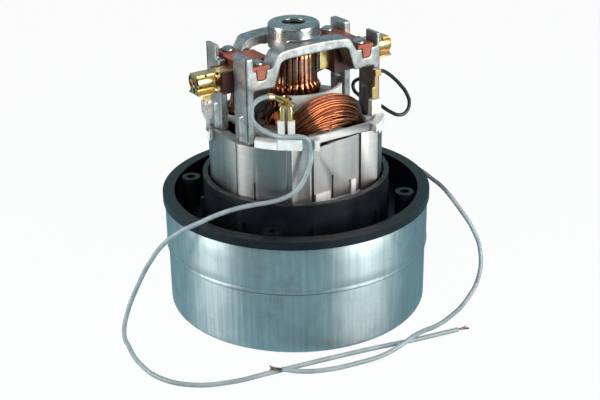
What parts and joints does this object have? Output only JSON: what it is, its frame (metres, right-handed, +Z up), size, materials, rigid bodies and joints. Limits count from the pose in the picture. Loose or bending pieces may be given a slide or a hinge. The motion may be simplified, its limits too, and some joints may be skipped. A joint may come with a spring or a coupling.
{
  "type": "vacuum motor unit",
  "caption": "Bypass vacuum motor: sheet-steel fan case under an open universal motor with a cast end bracket, brass brush tubes and free leads",
  "frame": {"origin": "centre of the fan case's bottom face", "axes": "+Z runs up the shaft from the air inlet to the bearing boss, +X runs along the brush axis, -Y faces the front field coil"},
  "size_m": [0.1952, 0.1631, 0.1553],
  "materials": {
    "zinc_steel": "zinc-plated sheet with a soft vertical streak",
    "fan_aluminium": "satin",
    "steel": "turned",
    "bright_steel": "polished",
    "housing_black": "moulded, worn at the rim",
    "lamination": "stamped sheets, glossy",
    "core_steel": "dark varnish",
    "fibre": "pressed fibre",
    "copper": "enamelled copper wire",
    "commutator_copper": "turned and used",
    "phenolic_dark": "moulded",
    "phenolic_red": "moulded",
    "nylon": "moulded",
    "cast_aluminium": "as cast",
    "brass": "stamped, bright",
    "carbon": "pressed carbon",
    "spring_steel": "drawn",
    "lead_grey": "smooth silicone",
    "jumper_clear": "clear sleeve",
    "jumper_black": "smooth",
    "bare_copper": "stranded wire"
  },
  "bodies": {
    "motor": {"inlet_can": "zinc_steel", "upper_can": "zinc_steel", "interstage_diffuser": "fan_aluminium", "motor_housing": "housing_black", "lower_outer_race": "bright_steel", "upper_outer_race": "bright_steel", "bearing_shields": "steel", "preload_washer": "spring_steel", "stator_stack": "lamination", "upper_insulator": "nylon", "lower_insulator": "nylon", "front_coil_core": "copper", "rear_coil_core": "copper", "front_winding": "copper", "rear_winding": "copper", "end_bracket": "cast_aluminium", "through_bolts": "steel", "brush_screws": "bright_steel", "left_brush_holder": "phenolic_red", "right_brush_holder": "phenolic_red", "left_brush_tube": "brass", "right_brush_tube": "brass", "left_tube_terminal": "brass", "right_tube_terminal": "brass", "left_jumper": "jumper_clear", "jumper_plug": "nylon", "black_jumper": "jumper_black", "front_crimp_terminal": "brass", "rear_crimp_terminal": "brass", "jumper_terminal": "brass", "coil_terminal": "brass", "front_lead": "lead_grey", "front_lead_strands": "bare_copper", "rear_lead": "lead_grey", "rear_lead_strands": "bare_copper"},
    "rotor": {"first_impeller": "fan_aluminium", "second_impeller": "fan_aluminium", "fan_spacers": "steel", "fan_washers": "steel", "fan_nut": "steel", "lower_inner_race": "bright_steel", "lower_bearing_balls": "bright_steel", "upper_inner_race": "bright_steel", "upper_bearing_balls": "bright_steel", "shaft": "steel", "armature_core": "core_steel", "armature_end_discs": "fibre", "armature_windings": "copper", "commutator_core": "phenolic_dark", "commutator_bars": "commutator_copper", "bearing_spacer": "steel"},
    "left_brush": {"left_carbon_brush": "carbon", "left_brush_spring": "spring_steel"},
    "right_brush": {"right_carbon_brush": "carbon", "right_brush_spring": "spring_steel"}
  },
  "joints": [
    {"name": "rotor_spin", "type": "hinge", "parent": "motor", "child": "rotor", "pos_m": [0, 0, 0.1], "axis": [0, 0, 1], "continuous": true},
    {"name": "left_brush_slide", "type": "slide", "parent": "motor", "child": "left_brush", "axis": [-1, 0, 0], "range_m": [0, 0.005], "stiffness_N_per_m": 250, "springref_m": -0.012, "deforming": ["left_brush_spring"]},
    {"name": "right_brush_slide", "type": "slide", "parent": "motor", "child": "right_brush", "axis": [1, 0, 0], "range_m": [0, 0.005], "stiffness_N_per_m": 250, "springref_m": -0.012, "deforming": ["right_brush_spring"]}
  ]
}
